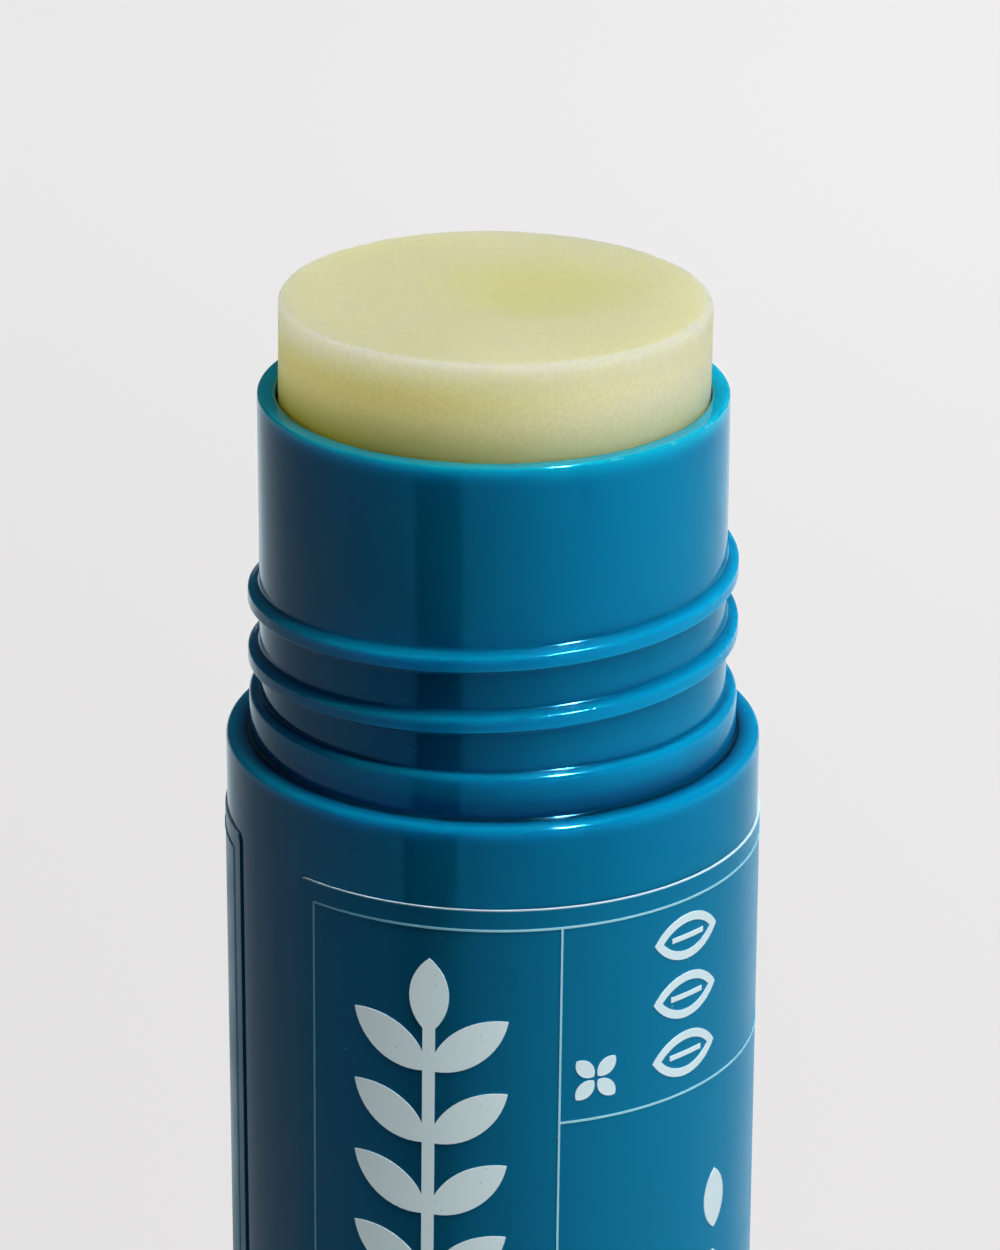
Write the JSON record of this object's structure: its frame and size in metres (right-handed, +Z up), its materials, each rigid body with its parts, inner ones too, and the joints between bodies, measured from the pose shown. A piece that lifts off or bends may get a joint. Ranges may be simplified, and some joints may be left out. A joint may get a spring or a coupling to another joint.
{
  "type": "lip balm tube",
  "caption": "Twist-up lip balm in a wide plastic tube with a screw neck; turning the dial at the base lifts the balm.",
  "frame": {"origin": "middle of the dial's underside, on the surface that the tube stands on", "axes": "+Z up along the tube's axis towards the balm, -Y towards the front of the label, +X to the right"},
  "size_m": [0.0258, 0.0258, 0.0797],
  "materials": {
    "shell_plastic": "satin moulded polypropylene, blue",
    "natural_plastic": "uncoloured moulded polypropylene",
    "wax": "translucent pale yellow wax balm",
    "label_film": "satin printed film, blue",
    "white_ink": "white print",
    "grey_ink": "pale grey print"
  },
  "bodies": {
    "case": {"sleeve": "shell_plastic", "barrel": "shell_plastic", "label": "label_film", "label_rules": "white_ink", "label_motif": "grey_ink"},
    "dial": {"dial": "shell_plastic", "spindle": "natural_plastic"},
    "carrier": {"elevator": "natural_plastic", "balm": "wax"}
  },
  "joints": [
    {"name": "dial_turn", "type": "hinge", "parent": "case", "child": "dial", "pos_m": [0, 0, 0], "axis": [0, 0, 1], "range_deg": [-540, 3600]},
    {"name": "balm_lift", "type": "slide", "parent": "case", "child": "carrier", "axis": [0, 0, 1], "range_m": [-0.006, 0.04]}
  ],
  "couplings": [
    {"joint": "balm_lift", "follows": "dial_turn", "m_per_rad": 0.0006366}
  ]
}
